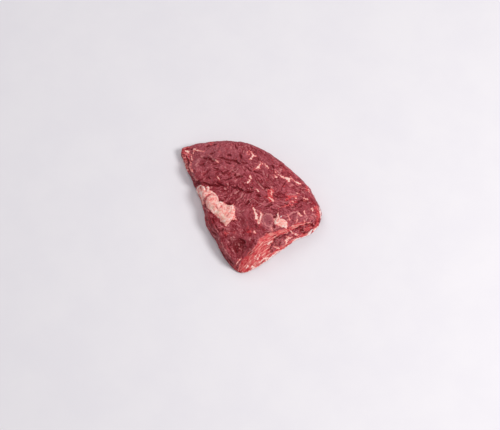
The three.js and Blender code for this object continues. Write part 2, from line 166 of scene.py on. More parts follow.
MEMBRANES = [
    [(10.1, -19.7, 0.45), (11.4, -24.4, 0.5), (14, -28.7, 0.5), (17.9, -30.3, 0.55), (18.7, -26.8, 0.4)],
    [(20.6, -21.2, 0.5), (18, -16.2, 0.45), (14.4, -16, 0.5)],
    [(28.6, -17.5, 0.35), (31.3, -19, 0.35), (34.5, -18.4, 0.4), (36.6, -15.4, 0.35), (43.2, -13.8, 0.35)],
    [(35.8, -16.6, 0.3), (37.6, -15.1, 0.6), (40, -14.3, 0.7), (42.6, -13.9, 0.5), (43.2, -15.2, 0.4)],
    [(43, -16.6, 0.4), (42.7, -19, 0.4), (42.2, -21.6, 0.4), (41.2, -26, 0.3)],
    [(49.2, -15.6, 0.4), (51, -18.4, 0.5), (51.6, -21.4, 0.5), (50.4, -23.4, 0.4)],
    [(5, -13, 0.3), (7.2, -14.6, 0.4), (9.2, -15.1, 0.4)],
    [(10, -17.6, 0.3), (10.6, -18.9, 0.6), (12.3, -18.1, 0.5), (14.2, -15.8, 0.35)],
    [(15.4, -16.4, 0.4), (18, -17.7, 0.45), (19.9, -20.4, 0.4), (20.3, -22.6, 0.3)],
    [(19.4, -25.6, 0.3), (18.4, -28.2, 0.6), (17, -30.2, 0.8), (18.4, -33.4, 0.7), (20, -34, 0.4)],
    [(20, -31.8, 0.4), (21.6, -32.4, 0.4), (23.4, -29.8, 0.3)],
    [(10.2, -26.4, 0.3), (13.5, -28.6, 0.35), (16.6, -29.6, 0.4)],
    [(34, 4.5, 0.3), (37, 4.4, 0.45), (39.6, 4, 0.4), (41.4, 5, 0.25)], [(14.2, 10.8, 0.3), (14, 8.4, 0.4)],
    [(35, -23.2, 0.3), (33, -21.6, 0.4), (32.6, -19, 0.3), (35.8, -17.4, 0.3)],
    [(-9, 6.4, 0.3), (-8.7, 4.4, 0.5), (-9.4, 2.2, 0.3)],
    [(-11.6, 8.8, 0.3), (-13, 7.2, 0.5), (-14.8, 5.6, 0.5), (-16, 5.4, 0.3)],
    [(-57.1, 38.4, 0.5), (-57.4, 34.2, 0.9), (-56.5, 30.8, 0.8), (-55.2, 28.2, 0.4)],
    [(-55.4, 26.2, 0.3), (-54.2, 23.4, 0.5), (-52.3, 20.4, 0.6), (-50.8, 19.4, 0.7)],
    [(-61.4, 47.6, 1), (-60.4, 46.4, 0.6)], [(-21.6, -44.2, 0.3), (-20.8, -46, 0.5)],
    [(-16.6, -7.2, 0.4), (-15.4, -8.8, 0.5), (-14.2, -11, 0.4)], [(-19, 56, 0.4), (-19.3, 53.8, 0.5)],
    [(-8.4, 56.4, 0.3), (-8.9, 54.8, 0.4)], [(-6.4, 52, 0.25), (-7.6, 49.8, 0.35)],
    [(-4, 48.8, 0.4), (-3.8, 46.8, 0.5)], [(-47.4, 45.2, 0.6), (-46.2, 44.6, 0.5)],
    [(-37, 42.6, 0.5), (-35.4, 42.6, 0.6)], [(-24.8, 33.4, 0.7), (-24, 33, 0.6)],
    [(-18.2, 30.6, 0.3), (-15.8, 28.6, 0.5)], [(-13, 25, 0.6), (-12, 24.6, 0.4)],
    [(-14.9, 28.4, 0.4), (-12.6, 32, 0.4)], [(6, 18.2, 0.35), (7.4, 15.2, 0.5), (9.6, 12.2, 0.4), (11.6, 10.6, 0.6)],
    [(11, 29.4, 0.35), (12, 26, 0.45)], [(15, 25.6, 0.4), (15.4, 23.4, 0.5)], [(27.2, 31, 0.5), (27.6, 29.6, 0.5)],
    [(24, 29.6, 0.35), (26.8, 27, 0.5)], [(19, 12.4, 0.5), (19.6, 11, 0.5)], [(37.8, 15.4, 0.5), (38.8, 14, 0.5)],
    [(-60, 44.4, 0.4), (-58.2, 42, 0.5)], [(-52.8, 36.2, 0.5), (-51.8, 34.6, 0.3)],
    [(-22.6, 16.2, 0.5), (-21.4, 14, 0.4)], [(-25.2, 11.6, 0.5), (-24, 9.2, 0.3)],
    [(-1.2, -41.6, 0.7), (-1.8, -43.6, 0.5)],
    [(-27.4, -46, 0.4), (-25, -52, 0.5), (-22, -57, 0.5), (-19.4, -61, 0.4)],
]
# Streaks and areas of fresh, bright red muscle.
RED_STREAKS = [
    [(16.6, 8.4, 1.4), (19, 7.6, 2), (17.6, 4, 2), (17, 0.4, 2.2), (18.6, -2, 1.8)],
    [(33, -1.4, 0.9), (35.4, 0.6, 1), (38.6, 2.6, 0.9), (41.6, 1.4, 0.9)],
    [(36, -3.6, 0.7), (40, -3.4, 0.8), (42.8, -4.4, 0.4)], [(34, 2.6, 0.8), (37, 1, 0.6)],
    [(7.4, 36.8, 1), (9.2, 36.2, 0.7)], [(-66, 50, 1), (-64.6, 52.3, 1.5), (-61.5, 53.9, 1.6), (-58.6, 54.5, 1.2)],
    [(-65.4, 49.6, 1.2), (-63.6, 48, 1.2)], [(-15.4, -70.5, 1), (-12.8, -74.1, 1), (-8.9, -75.9, 1), (-10.2, -72, 1)],
    [(-61.6, 48.4, 1), (-60.6, 46, 1.2), (-59, 41, 1), (-57.6, 39.6, 0.6)],
    [(26.5, -54.6, 0.8), (31.5, -50.3, 1.2), (36.6, -45.8, 1)],
    [(60.3, -8.4, 0.6), (61.6, -14.2, 0.9), (61.7, -19.9, 0.9), (60.7, -25.6, 0.9), (58.6, -30.3, 0.6)],
    [(-53.6, 24, 0.7), (-52.4, 21, 0.8), (-50.4, 19.2, 1)], [(-38.6, 61, 1), (-36.4, 60.6, 0.5)],
    [(-40, 59.6, 0.6), (-37.6, 58.2, 0.6)], [(20.4, 25.6, 0.7), (21.6, 26.4, 0.5)],
    [(27, -9, 0.9), (33, -7.4, 1), (38, -6.6, 0.9)], [(51.6, 13, 1), (52.6, 9, 1.2), (54, 5.6, 0.9)],
    [(-24, -36.2, 1), (-21.6, -36.6, 0.9)], [(-5.8, -56.4, 1), (-4.6, -57, 0.7)],
    [(-2.4, -35.4, 1.1), (-1, -34, 0.7)], [(28, 13, 0.8), (31, 12.4, 0.8)], [(12.4, 2.4, 0.6), (13.6, 2, 0.6)],
]
# Furrows between the muscle's bundles, darkened with painted shade: the half-width also sets the depth.
FURROWS = [
    [(-45.4, 16.6, 0.4), (-42.6, 15.6, 0.8), (-39, 13.9, 0.9), (-35, 14.2, 0.6), (-31.6, 13.3, 1), (-27.4, 13.8, 0.7),
     (-25.4, 12.4, 0.3)],
    [(-51, 19, 0.4), (-49.8, 16.4, 1.6), (-48.6, 15, 0.6)],
    [(-31.4, 44.6, 0.3), (-28, 44.2, 0.7), (-24.4, 42.6, 1), (-21.4, 41.4, 0.6), (-18, 41.2, 0.6), (-14.8, 40.4, 0.9),
     (-11.6, 37.4, 0.7)],
    [(-45, 43.6, 0.3), (-42.8, 42.9, 0.8), (-41, 43.4, 0.3)],
    [(-40.8, 43.8, 0.4), (-39.2, 42, 0.8), (-37.6, 41.4, 0.3)], [(-37.6, 40.8, 0.4), (-35.4, 40.5, 0.7)],
    [(-10.4, 47, 0.6), (-9.8, 45.6, 0.8), (-9.2, 44, 0.4)], [(-21.8, 20.4, 0.5), (-20.2, 21.2, 0.5)],
    [(-18.4, 12.2, 0.4), (-16, 11.2, 0.9), (-13.4, 10.6, 0.5)], [(-12.4, 10.4, 0.3), (-9.8, 9, 1), (-7.4, 8, 0.4)],
    [(-5.6, 7.4, 0.4), (-2.4, 7, 0.9), (0.2, 7.2, 0.6), (1, 7.8, 0.3)],
    [(-1.2, 11.9, 0.5), (0.2, 11.6, 0.9), (1, 11.4, 0.4)],
    [(12.4, -9, 0.5), (13.4, -8.6, 0.8), (15.2, -8.6, 0.7), (17.4, -7.4, 0.8), (19, -7, 0.3)],
    [(20.4, 4, 0.3), (22.4, 2.4, 0.45), (25, 1.6, 0.3), (28.6, 1, 0.2)], [(18.6, 35.2, 0.6), (20.8, 33, 0.7)],
    [(27.6, 35.6, 0.6), (28.6, 35.2, 0.4)], [(-2.6, -2.6, 0.5), (-4.4, -5.4, 0.8), (-5, -7, 0.3)],
    [(-31, -1.6, 0.5), (-28.4, -2.4, 0.9), (-27, -3.2, 0.3)],
    [(-24.4, -4.8, 0.4), (-21.8, -5.6, 0.8), (-18.6, -6, 0.3)],
    [(43.4, -2.2, 0.3), (46.8, -2.4, 0.7), (51.6, -3.6, 0.5)],
    [(-29.4, -34.2, 0.4), (-27, -33.4, 0.8), (-26.2, -32, 0.5)],
    [(20.6, -19.4, 0.3), (22, -18.4, 0.35), (22.8, -16, 0.2)], [(30.8, -5, 0.3), (33, -5.6, 0.8), (34.4, -5, 0.3)],
    [(5, 4.4, 0.3), (7.4, 3, 0.8), (9, 1.4, 0.3)], [(12.4, 12.2, 0.3), (14.4, 11.6, 0.7), (16, 12, 0.3)],
    [(40.1, -33.6, 0.3), (42, -31.4, 0.7), (44.3, -30, 1.1), (46.5, -32.7, 1.1), (47.6, -35.4, 0.6)],
    [(48.1, -30.5, 0.6), (51.8, -27.7, 0.9), (55.3, -26.8, 1), (57, -29.5, 0.6)],
    [(45.6, -34.4, 0.6), (48.4, -36.2, 0.9), (51.8, -35, 0.5)],
    [(17.2, -53.6, 0.4), (17.9, -50.4, 0.6), (19.2, -47.4, 0.5)],
    [(20.6, -44.2, 0.4), (24.1, -40.8, 0.7), (28.3, -39.3, 1), (31.7, -39.2, 0.8), (33.6, -38, 0.4)],
    [(25.4, -42, 0.4), (27.6, -41.2, 0.8), (30.4, -41.4, 0.5)],
    [(22.2, -46.6, 0.3), (23, -49.4, 0.5), (22.6, -52, 0.3)], [(26.4, -46, 0.3), (26, -49, 0.4)],
    [(-43.2, -8.4, 0.9), (-43.6, -6.2, 1.1), (-43.2, -3.6, 0.5)],
    [(-61.7, 45.3, 0.3), (-59.8, 40.7, 0.5), (-59.3, 36.9, 0.4), (-58.4, 31.9, 0.5), (-57.7, 29.3, 0.4)],
    [(-32.8, 30.4, 0.5), (-31.2, 31.6, 0.6)], [(-28, 28, 0.5), (-26.4, 26.6, 0.5), (-24.8, 27.2, 0.4)],
    [(-14.4, 22.2, 0.5), (-12.4, 23.2, 0.6), (-9.4, 23.6, 0.7)], [(2.8, 28.8, 0.8), (4, 28, 0.5)],
    [(-11, -43.6, 1.2), (-6.4, -45.8, 1), (-11.6, -48.7, 1.8), (-14.9, -52.4, 1.8), (-13.5, -56, 0.8)],
    [(-10, -43, 0.6), (-7.4, -44.4, 0.9), (-6, -45, 0.4)],
]
# Short straight marks [x1, y1, x2, y2, half-width]: cuts darkened with painted shade, and pale strands of the
# surface.
CUTS = [
    (-47.5, 44, -42.1, 42.7, 0.6), (-38.7, 43, -34, 40.3, 0.6), (-38.8, 48.3, -35.1, 49.7, 0.5),
    (-43.3, 55.5, -38.9, 57.1, 0.5), (-22.9, 47.1, -19.2, 46.3, 0.7), (-10.4, 47.1, -9, 43.8, 0.8),
    (-36.3, 35.8, -31.4, 37.8, 0.6), (-47.7, 35.7, -43.5, 37.4, 0.5), (-35.4, 32.7, -30.8, 31, 0.7),
    (-28.1, 28.9, -27.6, 26.2, 0.6), (-26.8, 27.3, -22.6, 28.9, 0.5), (-23.4, 19.6, -18.4, 21.9, 0.8),
    (-16.4, 24.6, -15.2, 26.7, 0.6), (-14, 22.7, -9, 23.8, 0.7), (-8.7, 38.9, -3.2, 37.4, 0.5),
    (-6, 34.3, 0.1, 28.9, 0.5), (-40.1, 22.5, -38.4, 20.7, 0.5), (-1.6, 12, 1, 11.8, 0.7),
    (-37.5, 57.3, -33.1, 58.5, 0.4), (-24.9, 39.7, -19.5, 37.4, 0.5), (4.1, 28.9, 7.4, 26.5, 0.5),
    (6.1, 16.6, 10.1, 12.7, 0.4), (-15.5, 58.5, -13.5, 53, 0.5), (-32.7, 16.6, -26, 12.7, 0.4),
    (4.7, 3.6, 7.5, 1.3, 0.6), (3.4, 19.5, 7.4, 16.6, 0.5), (7.4, 16.6, 12, 11, 0.4), (19.6, 35.8, 21, 33.3, 0.7),
    (43.1, -10, 47.2, -7.7, 0.5), (32.1, 17.3, 28.7, 11.8, 0.3), (28.7, 11.8, 27.9, 8, 0.25),
    (13.4, 11.2, 16.7, 10.4, 0.5), (43.2, -3.4, 46, -1.7, 0.6), (46, -1.7, 52.6, -3.6, 0.6),
    (37.8, -10, 40.4, -8.5, 0.4), (15.5, 25.8, 16.1, 22.7, 0.5), (40.5, -7, 44.5, -4.7, 0.4),
    (-30.2, -2.6, -25.7, -1.9, 0.8), (-23.7, -4.6, -17.9, -6.2, 0.9), (-3.8, -4.9, -1.7, -2.3, 0.7),
    (-36.1, -21.2, -34.6, -25.9, 0.6), (-27.6, -34, -25.3, -32.2, 0.6), (-31.5, -32.2, -29.9, -34.8, 0.6),
    (-38.9, -13.6, -37.4, -15.4, 0.5), (-43.5, -4, -42.9, -9.4, 1), (-29.8, -22.9, -27.2, -27, 0.6),
    (-42.1, -19, -40.7, -23.5, 0.5), (-21.6, -20.5, -17.7, -19, 0.3), (-19.6, -25, -15, -22.7, 0.5),
    (-33.4, -27.9, -32.1, -30.9, 0.5), (-12.4, -1, -8.5, 1.3, 0.5), (32, -5.9, 34.1, -5.5, 0.6),
    (20.6, -18.7, 21.9, -20.6, 0.3), (3.3, -26.9, 4.8, -31.2, 0.5), (20.6, -27.6, 21.3, -30.3, 0.45),
    (5.4, -21.2, 6, -25, 0.5), (-13.8, 12.7, -11.8, 11.2, 0.4), (24.6, -17.5, 25.9, -16, 0.4),
    (18, -10.8, 23.3, -12.3, 0.3), (-35.9, -35.5, -32.6, -37.7, 0.5), (-18.2, -47.3, -20.1, -49.5, 0.5),
    (-20.7, -63.3, -17.4, -67.6, 0.7), (-27.9, -55.3, -23.9, -60.4, 0.5), (50, -30.7, 51.2, -27.4, 0.6),
    (55.3, -24.2, 56.6, -23.6, 0.5), (24, -41.7, 29.8, -40.4, 0.5), (18.3, -50.6, 19.4, -55.7, 0.5),
    (33.8, -37.1, 35.6, -35.2, 0.4), (-62.2, 53.3, -58.6, 54.1, 0.7), (-57.2, 38.5, -56, 39.5, 0.5),
]
STRANDS = [
    (-40.4, 46.7, -37, 44.4, 0.4), (-53.1, 35.7, -49, 39.7, 0.5), (-13.4, 26.4, -9.9, 25, 0.5),
    (-51.8, 39.7, -49.1, 41.3, 0.3), (-6, 56.1, -4.7, 57.7, 0.4), (21.6, 25.8, 23.6, 21.8, 0.6),
    (41.3, 6.6, 44.1, 4.2, 0.5), (46, 8.2, 50.1, 5, 0.5), (51.8, -5.5, 54.6, -4, 0.4), (60.3, -9.3, 62.2, -13.2, 0.5),
    (54.9, -16, 60.9, -19.1, 0.4), (43.4, 11.2, 46.9, 11.8, 0.4), (44.6, 2.1, 49.2, 0.4, 0.3),
    (35.4, 12.7, 38.1, 13.5, 0.4), (23.2, -7, 27.2, -10, 0.3), (11.3, -4, 13.3, -3.2, 0.4),
    (47.4, 10.4, 49.4, 12.7, 0.4), (-42.9, -10.8, -39.4, -13.9, 0.7), (-32.7, -32.4, -30.6, -35.5, 0.5),
    (-29.4, -30.3, -26, -29.4, 0.5), (-2.5, -42, -1, -44.3, 0.5), (-12.4, -13.2, -8.3, -13.9, 0.35),
    (-8.3, -13.9, -6.3, -12.1, 0.35), (-13, -18.3, -9.5, -17.4, 0.35), (-2, -1, -1, -3.4, 0.5),
    (-36.6, -38.3, -32.5, -40.7, 0.4), (-19.1, -40.5, -17.4, -41.7, 0.6), (-16.9, -39.3, -15.4, -41.2, 0.5),
    (-18.2, -43, -14.6, -43.3, 0.4), (-9.7, -39, -8.2, -39.9, 0.4), (-12.4, -20.5, -9.7, -22, 0.3),
    (-11, -35.3, -8.4, -33.9, 0.3), (-24.2, -30.9, -20.2, -33.9, 0.3), (-30.6, -40.5, -29.3, -44.2, 0.4),
    (-9, 1.9, -14.3, -2.6, 0.4), (-6.5, 2.7, -4.4, 4.4, 0.4), (-5.8, -1.7, -3, -1, 0.4), (-0.5, 0.6, 4.8, -3.4, 0.3),
    (4.8, -3.4, 6.9, -5.6, 0.3), (13.5, 8.8, 15, 10.6, 0.5), (4.1, -12.1, 9.6, -14.7, 0.4),
    (24.5, -31.1, 27.3, -29.4, 0.4), (13.9, -34.8, 18, -35.1, 0.35), (34.5, -19.6, 35.9, -23.6, 0.6),
    (8, -5.6, 10.9, -6.4, 0.7), (17.3, -30.6, 18.9, -33.1, 0.6), (20.5, -33.9, 23.3, -30.9, 0.4),
    (31.1, -23.5, 35.2, -22.1, 0.35), (-14.4, -11.5, -11.1, -10.8, 0.3), (-13.1, -14.5, -10.4, -16, 0.3),
    (-17.8, 5.1, -19.1, 2.8, 0.4), (-1.8, -52.4, 2.9, -56.2, 0.5), (10.5, -63.4, 15.2, -61.1, 0.5),
    (2.7, -68.5, 8.7, -65.5, 0.4), (-11, -51.7, -9, -53.8, 0.3), (-18.1, -52.4, -14.8, -56.8, 0.3),
    (-12.3, -46.5, -11, -49.5, 0.3), (15.8, -46.5, 17.8, -44.3, 0.5), (54.9, -17.6, 57.8, -21, 0.4),
    (58.3, -18.3, 60.7, -20.4, 0.35), (48.6, -15, 51.4, -18.4, 0.4), (51.4, -18.4, 49.6, -20.4, 0.4),
    (42.1, -20.3, 40.9, -24.3, 0.4), (27.5, -44.4, 30.4, -46.9, 0.7), (27, -33.9, 29.3, -33.3, 0.3),
    (41.9, -33.9, 44.2, -34.6, 0.4), (46.5, -35.8, 50, -33.9, 0.4), (22.9, -44.9, 23.4, -49.4, 0.3),
    (20, -49.4, 21.1, -47.4, 0.35), (31.5, -44.9, 34.3, -42.9, 0.5), (-52.8, 35.1, -50.6, 37.7, 0.35),
    (22.3, -43.1, 24.7, -41.7, 0.35), (23.4, -45.6, 26.9, -42.9, 0.35), (21.7, -48.2, 24.7, -46.8, 0.3),
    (18.2, -53.3, 21.1, -50.8, 0.35), (26.3, -48.2, 29.3, -45.6, 0.4), (28, -50.8, 30.4, -48.7, 0.4),
    (26.9, -40.5, 29.3, -39.1, 0.3), (29.8, -41.8, 31.6, -43.7, 0.3), (49.9, -36.5, 52.3, -33.9, 0.3),
    (47.7, -33.3, 49.4, -31.3, 0.35), (53.5, -30.7, 55.8, -30, 0.5), (57, -26.1, 58.7, -28.7, 0.35),
]
# Creases across the big patch of fat, darkened red with painted shade.
FAT_CREASES = [
    [(-34.8, 4.1, 0.3), (-37.1, 4.6, 0.4), (-39.4, 3.6, 0.5), (-41.4, 1.3, 0.8), (-42.7, -1.7, 1), (-43.2, -5, 0.9),
     (-43.5, -7.6, 1.3)],
    [(-40.6, 2.9, 0.2), (-43.2, 0.3, 0.3), (-44.6, -2.4, 0.4), (-45, -5, 0.3)],
    [(-25.9, -6, 0), (-28, -8.6, 0.2), (-29.7, -10.6, 0.1), (-32, -10.9, -0.1)],
    [(-19.4, -14.4, 0.05), (-21.5, -16.5, 0.25), (-23.3, -18.8, 0.1)],
    [(-33.8, -7.4, 0.05), (-32, -9.6, 0.3), (-31.6, -12, 0.1)],
    [(-47.7, 12.4, 0.6), (-46.8, 11, 0.6), (-46.4, 9.6, 0.2)], [(-42.3, 9.6, 0.4), (-42.4, 7.2, 0.3)],
    [(-48.6, 4.3, 0.4), (-47.6, 0.4, 0.5), (-46, -4, 0.4)],
]
# Painted highlights: white gleams on the rims of the fat's lobes, and painted light on the shaded left lobe.
FAT_GLEAMS = [
    [(-50, 10.6, 0.4), (-49.2, 12.6, 0.5), (-47.7, 13.6, 0.45)],
    [(-45.6, 12.6, 0.3), (-44.6, 11.6, 0.7), (-43.3, 9.4, 0.5)],
    [(-49.9, 8.6, 0.3), (-49, 5.4, 0.45), (-48.2, 2.2, 0.45), (-47.2, -1, 0.3)],
    [(-41.3, 10.9, 0.3), (-40.4, 12.1, 0.5), (-39.9, 9.8, 0.5)],
    [(-37.4, 7.6, 0.3), (-35.7, 6.5, 0.55), (-32.9, 3.4, 0.5), (-31.2, -0.4, 0.4)],
    [(-30, -4.6, 0.3), (-28.4, -4.6, 0.6), (-26.2, -5.2, 0.35)],
    [(-46.1, 6.2, 0.7), (-45.2, 3.8, 1), (-45.6, 1.6, 0.5)],
    [(-40.6, 2.2, 0.2), (-41.6, -0.6, 0.3), (-41.9, -4, 0.3)],
    [(-19.6, -8.4, 0.3), (-17.6, -8.2, 0.5), (-17, -11, 0.3)],
    [(-20.6, -22.6, 0.2), (-18, -20.6, 0.5), (-16.6, -17.6, 0.3)],
    [(23.6, -22.6, 0.3), (22.4, -24.4, 0.5), (23, -26.6, 0.3)],
    [(29.6, -29.6, 0.4), (31.2, -30.6, 0.7), (31.9, -28.6, 0.4)], [(24.5, -16, 0.2), (24.5, -19, 0.35)],
]
# Raised beads along the edge of the far-left corner.
BEADS = [
    [(-64.2, 45.7, 0.7), (-63, 41.9, 1), (-61.4, 37.7, 0.8), (-61.2, 34.4, 1), (-59.8, 30.1, 0.9),
     (-58.4, 28.5, 0.5)],
    [(-57.1, 38.4, 0.5), (-57.4, 34.2, 0.9), (-56.5, 30.8, 0.8), (-55.2, 28.2, 0.4)],
]
# Painted highlights (white glints) and sinew along the near and right rims.
GLINTS = [
    [(52.5, -37.1, 0.5), (54.3, -35.1, 1), (55.7, -33.3, 0.6)],
    [(57.6, -33.9, 0.5), (58.6, -33.2, 0.7), (60.6, -31.8, 0.5)],
    [(19.9, -59.4, 0.25), (23.9, -55.7, 0.2), (29.7, -52.6, 0.3), (35.4, -48.6, 0.35), (41.2, -42.4, 0.45),
     (46.4, -40.8, 0.45)],
    [(46.4, -40.8, 0.45), (51, -39.3, 0.5), (53.9, -37.1, 0.4)],
    [(11.5, -67.6, 0.3), (16.5, -63.2, 0.5), (19.6, -59.2, 0.8), (21, -58, 0.3)],
    [(-0.1, -72.8, 0.3), (5.7, -71, 0.4), (9, -69.4, 0.2)],
    [(62.6, -8.5, 0.2), (63.8, -12.3, 0.4), (64.2, -17, 0.45), (63.9, -21, 0.25)],
    [(27.3, -19, 0.5), (27.1, -19.6, 0.4)],
]

# Soft oval spots: (x, y, radius along, radius across, turn in degrees, strength).
FAT_AGED = [
    (-36.1, -10.3, 1.9, 1.9, 0, 1), (-30.8, -14.4, 2.8, 2, 30, 1), (-25.5, -20, 1.8, 3.2, 0, 1),
    (-21.6, -8.4, 1.4, 1, 0, 0.9), (-24.4, -24.4, 1, 2, 0, 0.8),
]
# Painted shade: spots of muscle darkened where they lie in shade.
SHADED = [
    (-13, -49, 7.5, 13, 25, 1.5), (-30, -40, 8, 22, 35, 0.6), (-36, -24, 6, 14, -20, 0.75),
    (-42, 21, 14, 7, -10, 0.35), (-27, 9, 9, 5, -10, 0.35), (-16, -66, 4, 8, 30, 0.6),
]
# Spots of fresh bright red, and painted light on the shaded far-left tip.
FRESH_RED_AND_PAINTED_LIGHT = [
    (36, -1, 9, 6, -10, 0.2), (18, 3, 4, 8, 0, 0.6), (0, -36, 8, 7, 0, 0.3), (-20, -37, 10, 4, 0, 0.3),
    (60, -14, 5, 18, 0, 0.35), (38, 28, 16, 6, -45, 0.3), (-41, -22, 4, 15, 18, 0.45), (-30, -50, 3.5, 16, 32, 0.4),
    (-61, 46, 4, 8, 10, 0.3),
]
# Grey-purple tone of the muscle, and a painted sheen over the far part of the top.
GREY_AND_SHEEN = [
    (-35, 50, 32, 15, 0, 0.75), (0, 45, 22, 15, -30, 0.5), (14.6, -22.5, 6.5, 8, 0, 1.4), (38, -19, 10, 7, 0, 0.8),
    (-18, -44, 8, 9, 0, 0.35), (16, 38, 10, 8, -45, 0.4), (-57, 44, 8, 14, 10, 1.4),
]
# Where the muscle is smooth and even.
CALM = [
    (-6, -18, 8, 12, 0, 0.9), (-2, -28, 7, 8, 0, 0.7), (33, 15, 9, 5, 30, 0.9), (-15, 47, 9, 9, 0, 0.7),
    (-38, 49, 9, 6, 0, 0.6),
]

# The thin corner at the far left is drawn out a little further.
TIP = {"at": np.array([-65.0, 58.5, 6.0]), "reach": np.array([5.0, 5.0, 12.0]), "pull": np.array([-2.4, 2.2, 0.0])}


def smooth(value, low, high):
    """0 below low, 1 above high and an S-curve between."""
    share = np.clip((value - low) / (high - low), 0, 1)
    return share * share * (3 - 2 * share)


# Gradient noise

LATTICE = 256
lattice_draw = np.random.default_rng(7)
LATTICE_ORDER = lattice_draw.permutation(LATTICE)
LATTICE_SLOPES = lattice_draw.normal(size=(LATTICE, 3))
LATTICE_SLOPES /= np.linalg.norm(LATTICE_SLOPES, axis=1)[:, None]
NOISE_GAIN = 1.7  # brings the noise to about -1 to 1


def noise(places):
    """Gradient noise with lumps about one unit across."""
    cell = np.floor(places).astype(int)
    inside = places - cell
    ease = inside**3 * (inside * (inside * 6 - 15) + 10)
    total = np.zeros(len(places))
    for corner in itertools.product((0, 1), repeat=3):
        x, y, z = ((cell + corner) % LATTICE).T
        picked = LATTICE_ORDER[(LATTICE_ORDER[(LATTICE_ORDER[x] + y) % LATTICE] + z) % LATTICE]
        weight = np.prod(np.where(corner, ease, 1 - ease), axis=1)
        total += weight * (LATTICE_SLOPES[picked] * (inside - corner)).sum(1)
    return NOISE_GAIN * total


def warp(places, size, reach, shift):
    """Places moved about by up to reach, in swirls of that size."""
    moves = [noise(places / size + shift + 31.7 * axis) for axis in range(places.shape[1])]
    return places + reach * np.stack(moves, 1)


GRAIN_TURNS = 12
TURN_ANGLES = math.pi * np.arange(GRAIN_TURNS) / GRAIN_TURNS
TURN_FOCUS = 20  # how soon a direction gives way to the next


def grain_weights(angle):
    """How near the grain is to each of twelve fixed directions; the squares add up to 1."""
    weights = np.clip(np.cos(2 * (angle[:, None] - TURN_ANGLES)), 0, 1) ** TURN_FOCUS
    return weights / np.linalg.norm(weights, axis=1)[:, None]


def grain_noise(points, angle, across, along, shift):
    """Noise drawn out along the grain, blended from the fixed directions."""
    total = np.zeros(len(points))
    for k, (turn, weight) in enumerate(zip(TURN_ANGLES, grain_weights(angle).T)):
        x = points[:, 0] * math.cos(turn) + points[:, 1] * math.sin(turn)
        y = points[:, 1] * math.cos(turn) - points[:, 0] * math.sin(turn)
        stretched = np.stack([x / along, y / across, points[:, 2] / across], 1)
        total += weight * noise(stretched + shift + 17.3 * k)
    return total


def grain_angle(at):
    """Direction of the grain, as an average of doubled angles."""
    total = np.zeros(len(at), complex)
    for (x, y), degrees in GRAIN:
        weight = 1 / ((at[:, 0] - x) ** 2 + (at[:, 1] - y) ** 2 + GRAIN_REACH**2) ** 2
        total += weight * np.exp(2j * math.radians(degrees))
    return np.angle(total) / 2


# Distances to drawn shapes

def on_segment(at, start, end):
    """How far along a segment the nearest place on it is, 0 to 1, and the distance from it."""
    start = np.array(start, float)
    run = np.array(end) - start
    share = np.clip((at - start) @ run / (run @ run), 0, 1)
    return share, np.linalg.norm(at - start - share[:, None] * run, axis=1)


def strokes_depth(at, strokes):
    """How far inside any of the strokes a place lies: positive within its half-width, negative outside."""
    depth = np.full(len(at), -np.inf)
    for stroke in strokes:
        for (x1, y1, w1), (x2, y2, w2) in zip(stroke, stroke[1:]):
            share, away = on_segment(at, (x1, y1), (x2, y2))
            depth = np.maximum(depth, w1 + (w2 - w1) * share - away)
    return depth


def tapered(marks):
    """Strokes that narrow at both ends, from short straight marks."""
    return [[(x1, y1, 0.4 * w), ((x1 + x2) / 2, (y1 + y2) / 2, w), (x2, y2, 0.4 * w)] for x1, y1, x2, y2, w in marks]


def patch_depth(at, outline):
    """How far inside a closed outline a place lies: positive inside, negative outside."""
    inside = np.zeros(len(at), bool)
    nearest = np.full(len(at), np.inf)
    for (x1, y1), (x2, y2) in zip(outline, outline[1:] + outline[:1]):
        nearest = np.minimum(nearest, on_segment(at, (x1, y1), (x2, y2))[1])
        if y1 != y2:
            crosses = (at[:, 1] > y1) != (at[:, 1] > y2)
            inside ^= crosses & (at[:, 0] < x1 + (at[:, 1] - y1) * (x2 - x1) / (y2 - y1))
    return np.where(inside, nearest, -nearest)


def line_place(at, line):
    """Length along an open line, and distance from it, of the nearest place on it."""
    nearest = np.full(len(at), np.inf)
    along = np.zeros(len(at))
    walked = 0.0
    for start, end in zip(line, line[1:]):
        share, away = on_segment(at, start, end)
        length = math.dist(start, end)
        closer = away < nearest
        nearest[closer] = away[closer]
        along[closer] = (walked + share * length)[closer]
        walked += length
    return along, nearest


def spots_value(at, spots):
    """The strongest of several soft oval spots."""
    value = np.zeros(len(at))
    for x, y, radius_along, radius_across, degrees, strength in spots:
        turn = math.radians(degrees)
        away = at - (x, y)
        along = (away[:, 0] * math.cos(turn) + away[:, 1] * math.sin(turn)) / radius_along
        across = (away[:, 1] * math.cos(turn) - away[:, 0] * math.sin(turn)) / radius_across
        value = np.maximum(value, strength * np.exp(-(along**2 + across**2)))
    return value


# The mesh

def read_mesh(node):
    """Points in millimetres and triangles of a CAD node, with its split points joined."""
    mesh = node.data
    points = np.zeros(len(mesh.vertices) * 3)
    mesh.vertices.foreach_get("co", points)
    mesh.calc_loop_triangles()
    triangles = np.zeros(len(mesh.loop_triangles) * 3, int)
    mesh.loop_triangles.foreach_get("vertices", triangles)
    points = points.reshape(-1, 3)
    rounded = (points / 1e-6).round().astype(int)
    _, first, joined = np.unique(rounded, axis=0, return_index=True, return_inverse=True)
    return points[first] / MM, joined.reshape(-1)[triangles].reshape(-1, 3)


